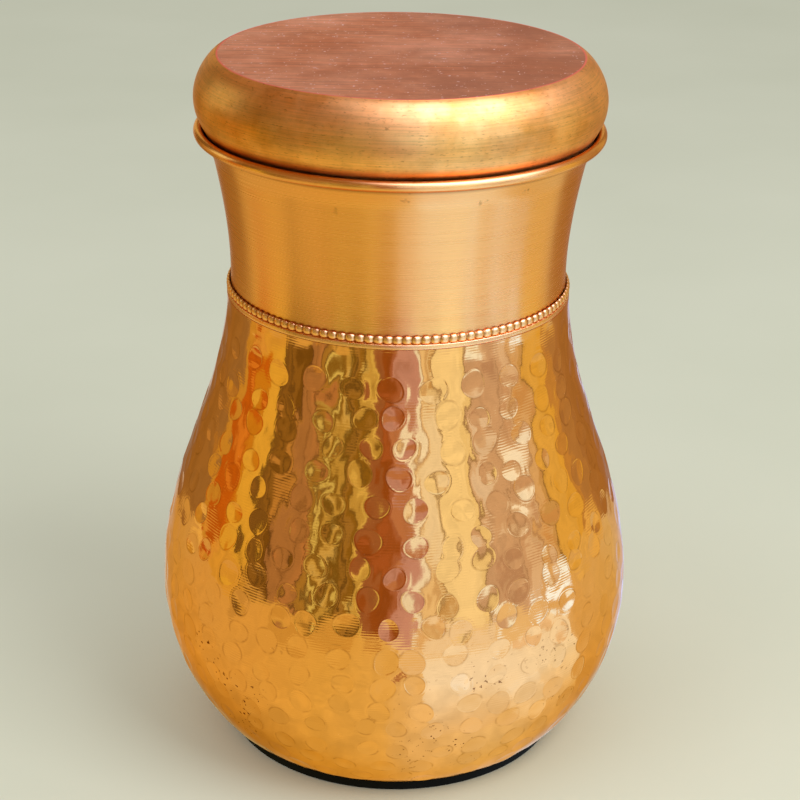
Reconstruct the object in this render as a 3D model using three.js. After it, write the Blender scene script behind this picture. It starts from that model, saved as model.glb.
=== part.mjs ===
// Lidded copper water jug: a hammered belly on a black rubber foot, a plain spun neck with a curled
// rim, a beaded band over the joint between the two, and a lift-off lid with a locating collar.
// Millimetres, +Z up, origin at the middle of the foot's underside.
import * as THREE from 'three';

// Sheet, fits and facets
const sheet = 0.8; // thickness of the copper sheet
const seamGap = 0.3; // clearance left where two pieces are brazed or glued
const lapGap = 0.3; // clearance between the neck's lower end and the body round it
const facets = 40; // facets round a plain turned piece

// Black rubber foot
const footHeight = 3.4;
const footWidth = 6.5;
const footInset = 1.9; // how far the foot stands in from the body's heel
const footChamfer = 0.6;

// Hammered body
const heelRadius = 52.7; // where the wall leaves the flat bottom
const heelRise = 0.4;
const bellyRadius = 70;
const bellyRise = 44.3; // from the body's underside up to the widest ring
const bodyHeight = 134.5; // from the body's underside up to its top edge
const kickRadius = 38; // raised middle of the floor
const kickRise = 2;
const kickSlope = 3;

// Neck and its curled rim
const neckRadius = 48.2; // outside radius of the straight lower end
const lapDepth = 7; // how far the neck stands down inside the body
const straightRise = 2.8; // straight stretch above the body's top edge
const neckRise = 47.5; // from the body's top edge up to the middle of the curl
const mouthRadius = 54.85; // clear radius inside the curl
const curlRadius = 1.45;
const mouthTurn = 3.45; // how far the mouth turns out, from the wall below it to the curl
const flareDrop = 7.7; // from the middle of the curl down to where that turn starts

// Beaded band
const pearlCount = 120;
const pearlDepth = 0.5; // how far the valleys between pearls are cut in
const pearlStand = 0.1; // crest of the pearls outside the body's top edge
const pearlHeight = 2.4;
const edgeRise = 1.1; // smooth edge of the strip, under the pearls

// Lid
const lidClearance = 0.5; // between the lid and the inside of the curl
const lidBulge = 3.2; // widest ring of the lid outside its seat
const bulgeRise = 9.6; // widest ring above the middle of the curl
const lidRise = 21.3; // flat top above the middle of the curl
const topRadius = 51.4; // radius of the flat top
const cornerRadius = 0.5; // crisp corner of the flat top
const tuckDrop = 4.1; // underside of the lid below the middle of the curl
const lipWidth = 0.6; // level lip turned in round the collar
const collarDepth = 12.5; // collar below the lid's underside
const collarRise = 2.2; // collar above the turned-in lip
const collarClearance = 1.2; // between the collar and the neck

// Heights and radii that follow from the sizes above
const bodyUnderside = footHeight + seamGap;
const bodyTop = bodyUnderside + bodyHeight;
const curlHeight = bodyTop + neckRise;
const curlCentreRadius = mouthRadius + curlRadius;
const bodyTopRadius = neckRadius + lapGap + sheet;
const footRadius = heelRadius - footInset;
const seatRadius = mouthRadius - lidClearance;
const lidUnderside = curlHeight - tuckDrop;

const point = (radius, height) => new THREE.Vector2(radius, height);

// A cubic curve from one outline point to another, as count steps without its first point
function bend(start, startHandle, endHandle, end, count) {
  const curve = new THREE.CubicBezierCurve(start, startHandle, endHandle, end);
  return curve.getPoints(count).slice(1);
}

// An arc about a centre, angles in degrees, without its first point
function arc(centre, radius, startAngle, endAngle, count) {
  const points = [];
  for (let step = 1; step <= count; step += 1) {
    const angle = THREE.MathUtils.degToRad(startAngle + ((endAngle - startAngle) * step) / count);
    points.push(point(centre.x + radius * Math.cos(angle), centre.y + radius * Math.sin(angle)));
  }
  return points;
}

// The outline moved to its left by a distance, at each point along the mean of its two edges' normals
function offset(outline, distance) {
  return outline.map((here, index) => {
    const before = outline[Math.max(index - 1, 0)];
    const after = outline[Math.min(index + 1, outline.length - 1)];
    const inward = here.clone().sub(before).normalize();
    const outward = after.clone().sub(here).normalize();
    const along = inward.add(outward).normalize();
    return point(here.x - along.y * distance, here.y + along.x * distance);
  });
}

// Radius of an outline where it crosses a height
function radiusAt(outline, height) {
  const index = outline.findIndex((corner, i) => i > 0 && outline[i - 1].y <= height && corner.y >= height);
  const low = outline[index - 1];
  const high = outline[index];
  const share = (height - low.y) / (high.y - low.y);
  return low.x + (high.x - low.x) * share;
}

// Turns an outline into a solid round the Z axis
function turn(outline, count = facets) {
  return new THREE.LatheGeometry(outline, count).rotateX(Math.PI / 2);
}

function copper(colour, roughness) {
  return new THREE.MeshStandardMaterial({ color: colour, roughness, metalness: 1 });
}

const hammeredCopper = copper('#d98a3a', 0.12);
const satinCopper = copper('#d4873f', 0.32);
const beadedCopper = copper('#cf8638', 0.25);
const lidCopper = copper('#c9803f', 0.4);
const plainCopper = copper('#b8683c', 0.45);
const blackRubber = new THREE.MeshStandardMaterial({ color: '#141312', roughness: 0.6, metalness: 0 });

// Rubber ring glued under the body; only its outer lower edge is chamfered
function foot() {
  const inside = footRadius - footWidth;
  return turn([
    point(inside, 0),
    point(footRadius - footChamfer, 0),
    point(footRadius, footChamfer),
    point(footRadius, footHeight),
    point(inside, footHeight),
    point(inside, 0),
  ]);
}

// Outside of the body from its heel to its top edge: a full belly, then a long drawn-in shoulder
function bodyOutside() {
  const heel = point(heelRadius, bodyUnderside + heelRise);
  const belly = point(bellyRadius, bodyUnderside + bellyRise);
  const top = point(bodyTopRadius, bodyTop);
  const lowerSpan = belly.y - heel.y;
  const upperSpan = top.y - belly.y;
  const heelHandle = point(heel.x + (belly.x - heel.x) * 0.5, heel.y + lowerSpan * 0.195);
  const lowerHandle = point(belly.x, belly.y - lowerSpan * 0.463);
  const upperHandle = point(belly.x, belly.y + upperSpan * 0.355);
  const topHandle = point(top.x + seamGap, top.y - upperSpan * 0.33);
  return [
    heel,
    ...bend(heel, heelHandle, lowerHandle, belly, 6),
    ...bend(belly, upperHandle, topHandle, top, 9),
  ];
}

// Bowl of one sheet: the inside wall is the outside wall moved in by the sheet
function body() {
  const floor = [
    point(0, bodyUnderside + kickRise),
    point(kickRadius, bodyUnderside + kickRise),
    point(kickRadius + kickSlope, bodyUnderside),
    point(heelRadius - heelRise, bodyUnderside),
  ];
  const outside = [...floor, ...bodyOutside()];
  const inside = offset(outside, sheet).reverse();
  inside[0].y = bodyTop;
  inside[inside.length - 1].x = 0;
  return turn([...outside, ...inside]);
}

// Inside of the neck from its lower end up to where the mouth turns out
function neckInside() {
  const bottom = point(neckRadius - sheet, bodyTop - lapDepth);
  const throat = point(neckRadius - sheet, bodyTop + straightRise);
  const flare = point(mouthRadius - mouthTurn, curlHeight - flareDrop);
  const span = flare.y - throat.y;
  const throatHandle = point(throat.x - seamGap * 2, throat.y + span * 0.31);
  const flareHandle = point(flare.x - span * 0.073, flare.y - span * 0.336);
  return [bottom, throat, ...bend(throat, throatHandle, flareHandle, flare, 7)];
}

// Neck of one sheet: up the inside, out round the mouth, then over and under in an open curl
function neck() {
  const wall = neckInside();
  const flare = wall[wall.length - 1];
  const centre = point(curlCentreRadius, curlHeight);
  const curlStart = 165;
  const curlEnd = -105;
  const start = arc(centre, curlRadius, curlStart, curlStart, 1)[0];
  const flareHandle = point(flare.x + flareDrop * 0.08, flare.y + flareDrop * 0.38);
  const curlHandle = point(start.x - flareDrop * 0.07, start.y - flareDrop * 0.28);
  const inside = [
    ...wall,
    ...bend(flare, flareHandle, curlHandle, start, 4),
    ...arc(centre, curlRadius, curlStart, curlEnd, 8),
  ];
  const outside = offset(inside, -sheet);
  outside[0].y = inside[0].y;
  return turn([...outside, ...inside.reverse(), outside[0].clone()]);
}

// Strip of pearls round the neck, on the body's top edge, with a smooth edge under the pearls.
// Two facets make one pearl: every second meridian of the crest is cut in to a valley.
function beadedBand() {
  const low = bodyTop + seamGap;
  const pearlLow = low + edgeRise;
  const high = pearlLow + pearlHeight;
  const bore = Math.max(neckRadius, radiusAt(neckInside(), high) + sheet) + seamGap;
  const outline = [
    point(bore, low),
    point(bodyTopRadius, low),
    point(bodyTopRadius, pearlLow),
    point(bodyTopRadius + pearlStand, pearlLow + pearlHeight / 2),
    point(bore, high),
    point(bore, low),
  ];
  const crest = 3;
  const geometry = turn(outline, pearlCount * 2);
  const place = geometry.attributes.position;
  const valley = (outline[crest].x - pearlDepth) / outline[crest].x;
  for (let meridian = 1; meridian < pearlCount * 2; meridian += 2) {
    const index = meridian * outline.length + crest;
    place.setX(index, place.getX(index) * valley);
    place.setY(index, place.getY(index) * valley);
  }
  return geometry;
}

// Inside radius of the neck at the collar's lower end, less the clearance
const collarRadius = radiusAt(neckInside(), lidUnderside - collarDepth) - collarClearance;

// Spun cap: flat top, crisp corner, bulging side, tucked-in underside and a lip round the collar
function lidCap() {
  const lidTop = curlHeight + lidRise;
  const corner = point(topRadius - cornerRadius, lidTop - cornerRadius);
  const shoulder = arc(corner, cornerRadius, 90, 50, 2);
  const edge = shoulder[1];
  const widest = point(seatRadius + lidBulge, curlHeight + bulgeRise);
  const seat = point(seatRadius, curlHeight);
  const lipEdge = point(collarRadius + seamGap, lidUnderside);
  const tuckEnd = point(lipEdge.x + lipWidth, lidUnderside);
  const rise = edge.y - widest.y;
  const shoulderHandle = point(edge.x + (widest.x - edge.x) * 0.45, edge.y - rise * 0.11);
  const sideHandle = point(widest.x, widest.y + rise * 0.43);
  const bulgeHandle = point(widest.x, widest.y - bulgeRise * 0.5);
  const seatHandle = point(seat.x + lidBulge * 0.34, seat.y + bulgeRise * 0.28);
  const tuckHandle = point(seat.x - lidBulge * 0.42, seat.y - tuckDrop * 0.62);
  const lipHandle = point(tuckEnd.x + lidBulge * 0.8, lidUnderside);
  const topDown = [
    point(0, lidTop),
    point(corner.x, lidTop),
    ...shoulder,
    ...bend(edge, shoulderHandle, sideHandle, widest, 4),
    ...bend(widest, bulgeHandle, seatHandle, seat, 4),
    ...bend(seat, tuckHandle, lipHandle, tuckEnd, 3),
    lipEdge,
  ];
  const outside = topDown.reverse();
  const inside = offset(outside, sheet).reverse();
  inside[0].x = 0;
  inside[inside.length - 1].x = lipEdge.x;
  return turn([...outside, ...inside, outside[0].clone()]);
}

// Plain ring brazed in the cap's lip; it centres the lid in the neck
function lidCollar() {
  const low = lidUnderside - collarDepth;
  const high = lidUnderside + sheet + collarRise;
  return turn([
    point(collarRadius - sheet, low),
    point(collarRadius, low),
    point(collarRadius, high),
    point(collarRadius - sheet, high),
    point(collarRadius - sheet, low),
  ]);
}

function piece(name, geometry, material) {
  const mesh = new THREE.Mesh(geometry, material);
  mesh.name = name;
  return mesh;
}

const jug = new THREE.Group();
jug.add(piece('rubber_foot', foot(), blackRubber));
jug.add(piece('hammered_body', body(), hammeredCopper));
jug.add(piece('neck', neck(), satinCopper));
jug.add(piece('beaded_band', beadedBand(), beadedCopper));

const lid = new THREE.Group();
lid.add(piece('lid_cap', lidCap(), lidCopper));
lid.add(piece('lid_collar', lidCollar(), plainCopper));

const copperJug = new THREE.Group();
copperJug.add(jug, lid);

export default copperJug;
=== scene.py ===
import math

import bpy
import numpy as np
from mathutils import Matrix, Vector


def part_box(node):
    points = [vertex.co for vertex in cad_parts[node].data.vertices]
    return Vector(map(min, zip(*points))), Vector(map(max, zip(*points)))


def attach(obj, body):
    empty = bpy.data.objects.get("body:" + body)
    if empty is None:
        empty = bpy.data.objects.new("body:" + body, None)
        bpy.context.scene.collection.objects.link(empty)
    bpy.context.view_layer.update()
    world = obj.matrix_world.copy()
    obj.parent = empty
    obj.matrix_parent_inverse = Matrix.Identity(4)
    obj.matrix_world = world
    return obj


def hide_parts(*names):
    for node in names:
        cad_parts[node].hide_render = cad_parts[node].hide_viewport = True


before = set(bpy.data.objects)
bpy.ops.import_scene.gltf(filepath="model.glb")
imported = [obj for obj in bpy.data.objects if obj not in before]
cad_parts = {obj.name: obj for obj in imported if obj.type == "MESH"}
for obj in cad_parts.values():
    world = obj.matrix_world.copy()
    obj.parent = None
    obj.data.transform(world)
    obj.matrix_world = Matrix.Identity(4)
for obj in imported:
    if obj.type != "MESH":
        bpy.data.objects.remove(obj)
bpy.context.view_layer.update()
mm = 0.001

# Sizes that the pieces share, from the frame's own boxes
bodyLow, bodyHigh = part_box("hammered_body")
neckLow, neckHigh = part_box("neck")
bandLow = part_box("beaded_band")[0]
capLow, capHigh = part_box("lid_cap")
collarLow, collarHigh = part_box("lid_collar")
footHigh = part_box("rubber_foot")[1]
sheet = 0.8 * mm  # thickness of the copper sheet
seamGap = 0.3 * mm  # where glue or solder would be
bodyTop = bodyHigh.z
lapGap = 0.3 * mm  # between the neck's lower end and the body round it
bodyTopRadius = 49.3 * mm  # outside of the body's top edge, under the pearls


# Colour, nodes and turned surfaces

def linearColour(hexColour):
    # sRGB to linear: c / 12.92 below 0.04045, else ((c + 0.055) / 1.055) ^ 2.4
    values = []
    for place in (1, 3, 5):
        value = int(hexColour[place:place + 2], 16) / 255
        values.append(value / 12.92 if value < 0.04045 else ((value + 0.055) / 1.055) ** 2.4)
    return (*values, 1.0)


def addNode(tree, kind, inputs=None, **settings):
    # inputs gives each socket a value or another node's output. Numbered sockets: MapRange takes the
    # value, the two limits it comes from and the two it goes to; MixRGB the share and two colours.
    node = tree.nodes.new("ShaderNode" + kind)
    for name, value in settings.items():
        setattr(node, name, value)
    for socket, value in (inputs or {}).items():
        if isinstance(value, bpy.types.NodeSocket):
            tree.links.new(value, node.inputs[socket])
        else:
            node.inputs[socket].default_value = value
    return node


def every(size):
    # Scale of a pattern whose spots are this many millimetres apart
    return 1 / (size * mm)


def newMaterial(name):
    material = bpy.data.materials.new(name)
    material.use_nodes = True
    material.node_tree.nodes.clear()
    return material, material.node_tree


def finishMaterial(tree, shader):
    addNode(tree, "OutputMaterial", {"Surface": shader.outputs[0]})


def bend(start, startHandle, endHandle, end, count):
    # Cubic curve: the four points weighted (1-t)^3, 3t(1-t)^2, 3t^2(1-t) and t^3, without its first point
    t = np.linspace(0, 1, count + 1)[1:, None]
    points = [np.array(p) for p in (start, startHandle, endHandle, end)]
    weights = [(1 - t) ** 3, 3 * t * (1 - t) ** 2, 3 * t ** 2 * (1 - t), t ** 3]
    return sum(weight * point for weight, point in zip(weights, points))


def arc(centre, radius, startAngle, endAngle, count):
    # Points at centre + radius * (cos, sin) of evenly spaced angles in degrees, without the first
    angles = np.radians(np.linspace(startAngle, endAngle, count + 1)[1:])
    return np.array(centre) + radius * np.column_stack([np.cos(angles), np.sin(angles)])


def straight(start, end, count):
    t = np.linspace(0, 1, count + 1)[1:, None]
    return np.array(start) * (1 - t) + np.array(end) * t


def outlineNormals(outline):
    # Unit normal to the left of the way each point's neighbours run
    along = np.gradient(outline, axis=0)
    along /= np.linalg.norm(along, axis=1)[:, None]
    return np.column_stack([-along[:, 1], along[:, 0]])


def arcLengths(outline):
    steps = np.linalg.norm(np.diff(outline, axis=0), axis=1)
    return np.concatenate([[0], np.cumsum(steps)])


def evenly(outline, count):
    # The same line with count points a constant distance apart
    run = arcLengths(outline)
    wanted = np.linspace(0, run[-1], count)
    return np.column_stack([np.interp(wanted, run, outline[:, k]) for k in (0, 1)])


def turnedPiece(name, radii, heights, material, poles=None, smoothAngle=35):
    # Point (i, j) stands at radii[i, j], turned 2*pi*j/columns about Z, at heights[i, j].
    # Rows close on themselves, or end in two poles on the axis when poles gives their heights.
    rows, columns = radii.shape
    turn = np.linspace(0, 2 * np.pi, columns, endpoint=False)[None, :]
    points = np.stack([radii * np.cos(turn), radii * np.sin(turn), heights], axis=-1).reshape(-1, 3)
    index = np.arange(rows * columns).reshape(rows, columns)
    right = np.roll(index, -1, axis=1)
    if poles is None:
        up, rightUp = np.roll(index, -1, axis=0), np.roll(right, -1, axis=0)
        quads = np.stack([index, right, rightUp, up], axis=-1).reshape(-1, 4)
        fans = np.zeros((0, 3), int)
    else:
        quads = np.stack([index[:-1], right[:-1], right[1:], index[1:]], axis=-1).reshape(-1, 4)
        first, last = rows * columns, rows * columns + 1
        points = np.vstack([points, [[0, 0, poles[0]], [0, 0, poles[1]]]])
        startFan = np.stack([np.full(columns, first), right[0], index[0]], axis=-1)
        endFan = np.stack([index[-1], right[-1], np.full(columns, last)], axis=-1)
        fans = np.vstack([startFan, endFan])
    triangles = np.vstack([quads[:, [0, 1, 2]], quads[:, [0, 2, 3]], fans])
    corners = points[triangles]
    volume = np.einsum("ij,ij->i", corners[:, 0], np.cross(corners[:, 1], corners[:, 2])).sum()
    if volume < 0:
        quads, fans = quads[:, ::-1], fans[:, ::-1]
    mesh = bpy.data.meshes.new(name)
    mesh.from_pydata(points.tolist(), [], quads.tolist() + fans.tolist())
    mesh.polygons.foreach_set("use_smooth", np.ones(len(mesh.polygons), bool))
    mesh.set_sharp_from_angle(angle=math.radians(smoothAngle))
    mesh.materials.append(material)
    mesh.update()
    piece = bpy.data.objects.new(name, mesh)
    bpy.context.scene.collection.objects.link(piece)
    print("made", name, len(triangles), "triangles")
    return piece


def paintPoints(piece, name, values):
    # One number on each point of the mesh, for its material to read
    attribute = piece.data.attributes.new(name, "FLOAT", "POINT")
    attribute.data.foreach_set("value", np.asarray(values).ravel().astype(np.float32))


def turnOutline(name, outline, columns, material, smoothAngle=35):
    # A plain turned piece: every column has the same closed outline of (radius, height) points
    grid = np.repeat(np.asarray(outline)[:, :, None], columns, axis=2)
    return turnedPiece(name, grid[:, 0], grid[:, 1], material, smoothAngle=smoothAngle)


def standFor(piece, body, node):
    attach(piece, body)
    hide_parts(node)


# Camera: above the lid, looking down on the front of the jug

view = {
    "place": (0.0, -0.5443, 0.3366),
    "pitch": 23.26,  # degrees down
    "yaw": -0.11,
    "roll": 0.86,  # the picture leans clockwise
    "lens": 90,  # mm
    "sensor": 36,
}


def makeCamera():
    data = bpy.data.cameras.new("camera")
    data.lens = view["lens"]
    data.sensor_width = view["sensor"]
    camera = bpy.data.objects.new("camera", data)
    bpy.context.scene.collection.objects.link(camera)
    aim = Matrix.Rotation(math.radians(view["yaw"]), 4, "Z")
    tilt = Matrix.Rotation(math.radians(90 - view["pitch"]), 4, "X")
    roll = Matrix.Rotation(math.radians(view["roll"]), 4, "Z")
    camera.matrix_world = Matrix.Translation(view["place"]) @ aim @ tilt @ roll
    bpy.context.scene.camera = camera


makeCamera()
print("camera ready")


# Painted reflections: glowing cards painted with the room that the polished copper mirrors, seen by glossy
# rays only

copperTint = (0.93, 0.42, 0.12)  # linear reflectance of the polished copper
room = {
    "radius": 0.38,
    "height": 0.36,
    "turn": 4.5,  # the wall and floor below are turned this many degrees to the right
    "backWall": 0.178,  # a wall stands across the floor this far behind the jug
    "step": 0.0005,  # each painted patch lies this far in front of the one before it
    "facet": 3,  # a painted band turns by flat pieces of about this many degrees
    "floorHole": 0.002,  # radius left open in the middle of the floor
    "backReach": 155,  # the wall behind the jug is followed round to this many degrees on both sides
    "backPieces": 12,  # flat pieces on each side
    "backLift": 2.5,  # steps that it lies above the floor
    # Angles are in degrees, 0 in front and + to the right; colours are those that the copper shows.
    # Round the wall: where each band starts, and its colour
    "wallBands": [
        (-180, "#c98a4a"), (-172, "#8d5524"), (-163, "#d8a058"), (-150, "#a3642c"), (-141, "#774a16"),
        (-134, "#bf7a34"), (-122, "#b06c24"), (-115, "#c67e22"), (-106, "#b85008"), (-93, "#c6700f"),
        (-88, "#dd9426"), (-77, "#7c4a12"), (-72, "#8c5414"), (-66, "#74430b"), (-61, "#a8662a"),
        (-52, "#b06a2c"), (-47, "#a2681e"), (-41, "#e0b04a"), (-39.5, "#84520f"), (-37, "#c2882f"),
        (-33, "#74480c"), (-31, "#a06620"), (-27, "#8c5610"), (-23, "#c48a30"), (-20, "#e2a840"),
        (-18.6, "#9a5222"), (-13, "#94440f"), (-7, "#a65628"), (-4.5, "#c47f5c"), (5, "#f6d49c"),
        (8, "#e4ae66"), (12, "#d59a54"), (15, "#eab870"), (19, "#8e5f2c"), (20, "#f5c476"),
        (33.5, "#f0bd6c"), (36.5, "#8a5a2a"), (37.6, "#d6a068"), (48, "#cd9560"), (56, "#dca870"),
        (67, "#d89c58"), (76, "#c88c44"), (79.5, "#7e501e"), (80.5, "#de9a38"), (90, "#df9830"),
        (98, "#c27c30"), (104, "#b27336"), (112, "#ac6e36"), (126, "#c8904c"), (138, "#9a6230"),
        (150, "#d09a5a"), (163, "#7e4e20"), (172, "#b87c42"), (180, "#b87c42"),
    ],
    # On the wall: first and last degree, low and high edge, colour
    "wallPatches": [
        (-160, -112, 0, 0.06, "#9c632a"), (112, 165, 0, 0.085, "#aa6d37"),
        (-116, -98, 0, 0.014, "#e3a044"), (-98, -76, 0, 0.040, "#d88c28"),
        (-108, -99, 0, 0.016, "#b24406"), (-106, -92, 0.016, 0.034, "#d6862a"),
        (-104, -90, 0.052, 0.072, "#bf5508"), (-100, -94, 0.085, 0.11, "#d87018"),
        (-76, -21, 0, 0.013, "#d28c30"), (-57, -52, 0.02, 0.034, "#c87a28"),
        (-70, -63, 0.02, 0.03, "#b4742c"), (-50, -44, 0.08, 0.125, "#b86c2c"),
        (-66, -60, 0.12, 0.16, "#bc7426"), (-47, -40, 0.122, 0.14, "#b88430"),
        (-36, -33, 0.07, 0.13, "#d29a40"), (-30, -28.6, 0.03, 0.16, "#5e380a"),
        (-26, -22, 0.045, 0.07, "#d29c40"), (-18, -8, 0, 0.007, "#cf8c3c"),
        (-12, -8, 0.122, 0.15, "#a8501c"), (-5, 5, 0.128, 0.17, "#b86a36"),
        (-3, -1, 0.04, 0.12, "#b4704c"), (4, 16, 0, 0.016, "#db9c54"), (16, 19, 0.03, 0.07, "#c88c44"),
        (9, 18, 0.12, 0.2, "#f0c484"), (21, 36, 0, 0.008, "#ecb46a"), (38, 46, 0.012, 0.05, "#f5d9a8"),
        (38, 60, 0.042, 0.125, "#cb935e"), (46, 53, 0.046, 0.082, "#b98050"),
        (57, 66, 0.075, 0.115, "#c98e58"), (58, 67, 0.13, 0.2, "#f8d8a8"),
        (69, 79, 0.075, 0.10, "#cc8842"), (39, 46, 0.128, 0.2, "#e4b682"), (56, 62, 0, 0.021, "#fdf0d0"),
        (63.5, 67, 0, 0.018, "#fdeccc"), (71, 80, 0, 0.024, "#fff2d6"),
        (-150, -125, 0.21, 0.36, "#744618"), (-121, -104, 0.2, 0.36, "#f4bc66"),
        (-101, -80, 0.2, 0.36, "#6a3c10"), (-78, -30, 0.25, 0.36, "#a8682c"),
        (-6, 66, 0.23, 0.34, "#ffdc9e"), (-77.8, -76.8, 0.013, 0.36, "#4a2806"),
        (-69.4, -68.6, 0.013, 0.2, "#4e2c08"), (-61.4, -60.6, 0.013, 0.2, "#4a2806"),
        (-55.2, -54.6, 0.03, 0.2, "#6e3e10"), (-47.8, -47.0, 0.013, 0.2, "#4a2a06"),
        (-42, -41.2, 0.013, 0.2, "#54300a"), (-34, -33.2, 0.02, 0.2, "#4e2e06"),
        (-24, -23.2, 0.013, 0.2, "#5c380a"), (7.2, 8, 0.02, 0.36, "#a86c34"),
        (55, 55.8, 0.05, 0.2, "#a87444"), (67, 67.8, 0.04, 0.2, "#a87040"),
        (75, 81, 0.024, 0.034, "#fbe8c2"), (70, 74, 0.036, 0.048, "#f7dcae"),
        (80, 110, 0, 0.03, "#e2a148"),
    ],
    # Round the floor: an angle, the colour there and the share of it left close to the foot,
    # changing smoothly from one to the next
    "floorBands": [
        (-180, "#c08a4c", 0.7), (-150, "#cf9550", 0.7), (-120, "#d19244", 0.62), (-100, "#d68e38", 0.58),
        (-60, "#db9033", 0.6), (-30, "#de9737", 0.85), (-8, "#e09c40", 0.96), (3, "#e8aa5a", 0.96),
        (30, "#ecb468", 0.92), (60, "#e6ab62", 0.86), (78, "#dc9a48", 0.75), (100, "#daa056", 0.75),
        (120, "#dcb07c", 0.75), (150, "#d0a06c", 0.7), (180, "#c08a4c", 0.7),
    ],
    "footShade": (0.056, 0.092),  # the foot's shade is full up to here, and gone from there
    # On the floor: first and last degree, near and far edge, colour at each edge
    "floorPatches": [
        (7, 72, 0.080, 0.135, "#e6ac62", "#f7ce94"), (7, 72, 0.135, 0.245, "#f7ce94", "#f7cc90"),
        (-4, 9, 0.20, 0.38, "#ecb26a", "#ecb26a"), (10, 40, 0.26, 0.38, "#f1c182", "#f1c182"),
        (47, 66, 0.185, 0.245, "#ebb270", "#ebb270"), (57, 64, 0.232, 0.262, "#fdeac4", "#fdeac4"),
        (69, 74, 0.240, 0.262, "#fdeac4", "#fdeac4"), (41, 44, 0.24, 0.30, "#fbe2b6", "#fbe2b6"),
        (-56, -24, 0.235, 0.33, "#cd852c", "#cd852c"), (-78, -72, 0.22, 0.38, "#c6812e", "#c6812e"),
        (-16, -8, 0.235, 0.275, "#b86e24", "#b86e24"), (-3, 0.5, 0.148, 0.158, "#a85a28", "#a85a28"),
        (38, 52, 0.08, 0.125, "#edb872", "#f8d29c"), (18, 24, 0.10, 0.14, "#f0bc76", "#fbdcae"),
    ],
    "skyDim": (0.46, 0.365, 0.265, 1),
    "skyLeft": (0.32, 0.18, 0.06, 1),  # browner on the left
    "leftStarts": 0.05,  # how far to the left, of 1, the brown starts and is full
    "leftFull": -0.45,
    "skyBright": (4.2, 4.8, 9.8, 1),
    "skyAim": (0.45, -0.25, 0.856),  # towards the bright window, high on the right
    "skyEdges": (0.74, 0.99),  # cosines of the angles from it where its light starts and is full
    "skySeen": "#dcdad4",
}


def litBy(hexColour):
    # The light that makes the copper show this colour: the colour divided by the copper's own
    seen = linearColour(hexColour)
    return [seen[k] / copperTint[k] for k in range(3)] + [1.0]


def glowMaterial(name, spots, darkest, lightest):
    # It shines in the colour painted on the card, made uneven by noise; spots is their size in mm
    # along X, Y and Z
    material, tree = newMaterial(name)
    paint = addNode(tree, "Attribute", attribute_name="shown")
    place = addNode(tree, "TexCoord")
    grain = addNode(tree, "Mapping", {0: place.outputs["Object"], 3: [every(size) for size in spots]})
    mottle = addNode(tree, "TexNoise", {
        "Vector": grain.outputs[0], "Scale": 1.0, "Detail": 5.0, "Roughness": 0.62})
    uneven = addNode(tree, "MapRange", {
        0: mottle.outputs["Fac"], 1: 0.32, 2: 0.68, 3: darkest, 4: lightest})
    finishMaterial(tree, addNode(tree, "Emission", {0: paint.outputs["Color"], 1: uneven.outputs[0]}))
    material.cycles.emission_sampling = "NONE"
    return material


def paintedCard(name, patches, material, turned=0):
    # Each patch runs from one angle to another between two rings (radius, height); point (i, j) stands
    # on ring i at angle j. Each ring has two colours, at the first and at the last angle.
    points, quads, paint = [], [], []
    count = 0
    for start, end, rings, colours in patches:
        stations = max(2, round(abs(end - start) / room["facet"]) + 1)
        turn = np.radians(turned + np.linspace(start, end, stations))
        share = np.linspace(0, 1, stations)[:, None]
        for (radius, height), (first, last) in zip(rings, colours):
            level = np.full(stations, height)
            points.append(np.column_stack([radius * np.sin(turn), -radius * np.cos(turn), level]))
            paint.append(np.array(first) * (1 - share) + np.array(last) * share)
        index = count + np.arange(stations - 1)
        quads.append(np.column_stack([index, index + 1, index + stations + 1, index + stations]))
        count += 2 * stations
    mesh = bpy.data.meshes.new(name)
    mesh.from_pydata(np.vstack(points).tolist(), [], np.vstack(quads).tolist())
    shown = mesh.color_attributes.new("shown", "FLOAT_COLOR", "POINT")
    shown.data.foreach_set("color", np.vstack(paint).ravel().astype(np.float32))
    mesh.materials.append(material)
    card = bpy.data.objects.new(name, mesh)
    bpy.context.scene.collection.objects.link(card)
    # Seen in reflections only: no shadow, no light on the floor, nothing for the camera
    card.visible_camera = False
    card.visible_diffuse = False
    card.visible_transmission = False
    card.visible_volume_scatter = False
    card.visible_shadow = False


def plain(hexColour):
    # The same light at all four corners of a patch
    return [[litBy(hexColour)] * 2] * 2


def makeRoom():
    radius, step = room["radius"], room["step"]
    wall = []
    for (start, colour), (end, _) in zip(room["wallBands"], room["wallBands"][1:]):
        wall.append((start, end, ((radius, 0.0), (radius, room["height"])), plain(colour)))
    for number, (start, end, low, high, colour) in enumerate(room["wallPatches"]):
        near = radius - step * (number + 1)
        wall.append((start, end, ((near, low), (near, high)), plain(colour)))
    wallGlow = glowMaterial("painted reflection wall", spots=(14.3, 14.3, 45.5), darkest=0.84, lightest=1.14)
    paintedCard("paintedReflectionWall", wall, wallGlow, room["turn"])
    floor = []
    footShade, shadeEnd = room["footShade"]
    bands = room["floorBands"]
    for (start, colour, keep), (end, nextColour, nextKeep) in zip(bands, bands[1:]):
        full = np.array([litBy(colour), litBy(nextColour)])
        shaded = full * np.array([[keep], [nextKeep]])
        floor.append((start, end, ((room["floorHole"], step), (footShade, step)), (shaded, shaded)))
        floor.append((start, end, ((footShade, step), (shadeEnd, step)), (shaded, full)))
        floor.append((start, end, ((shadeEnd, step), (radius, step)), (full, full)))
    for number, (start, end, near, far, colour, farColour) in enumerate(room["floorPatches"]):
        height = step * (1 + (number + 1) / len(room["floorPatches"]))
        colours = [[litBy(colour)] * 2, [litBy(farColour)] * 2]
        floor.append((start, end, ((near, height), (far, height)), colours))
    floorGlow = glowMaterial("painted reflection floor", spots=(11.8, 11.8, 11.8), darkest=0.86, lightest=1.12)
    paintedCard("paintedReflectionFloor", floor, floorGlow, room["turn"])
    makeBackWall()
    makeSky()


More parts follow.
